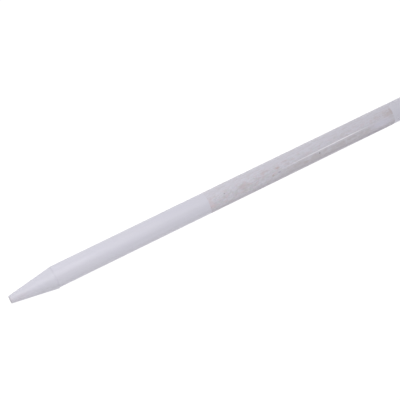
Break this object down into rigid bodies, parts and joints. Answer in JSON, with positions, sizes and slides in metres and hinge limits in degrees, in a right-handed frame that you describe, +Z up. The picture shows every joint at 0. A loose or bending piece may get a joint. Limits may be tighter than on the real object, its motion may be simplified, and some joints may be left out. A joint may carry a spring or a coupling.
{
  "type": "roller extension pole",
  "caption": "Slim white extension pole with a plain cone end that jams in a paint roller handle, a screw joint at mid-length and a swivel eye at the butt.",
  "frame": {"origin": "centre of the cone's small end face, on the pole's axis", "axes": "+X along the pole from the cone to the butt, +Z up as it lies, +Y to complete a right-handed frame"},
  "size_m": [1.22, 0.024, 0.024],
  "materials": {
    "pole_film": "satin lavender-white film",
    "cone_plastic": "satin moulded white",
    "coupling_plastic": "satin moulded white",
    "label_film": "satin, faint streaks along the pole",
    "tube_steel": "bright rolled strip",
    "washer_rubber": "matt"
  },
  "bodies": {
    "front_section": {"cone_tip": "cone_plastic", "front_tube": "tube_steel", "front_sleeve": "pole_film", "wrap_label": "label_film", "coupling_socket": "coupling_plastic"},
    "coupling_washer": {"coupling_washer": "washer_rubber"},
    "rear_section": {"coupling_stud": "coupling_plastic", "rear_tube": "tube_steel", "rear_sleeve": "pole_film", "end_cap": "cone_plastic"},
    "hanging_eye": {"hanging_eye": "cone_plastic"}
  },
  "joints": [
    {"name": "coupling_travel", "type": "slide", "parent": "front_section", "child": "coupling_washer", "axis": [1, 0, 0], "range_m": [0, 0.02]},
    {"name": "coupling_turn", "type": "hinge", "parent": "coupling_washer", "child": "rear_section", "pos_m": [0.62, 0, 0], "axis": [1, 0, 0], "range_deg": [0, 1800]},
    {"name": "eye_swivel", "type": "hinge", "parent": "rear_section", "child": "hanging_eye", "pos_m": [1.2, 0, 0], "axis": [1, 0, 0], "continuous": true}
  ],
  "couplings": [
    {"joint": "coupling_turn", "follows": "coupling_travel", "rad_per_m": 1570.8}
  ]
}
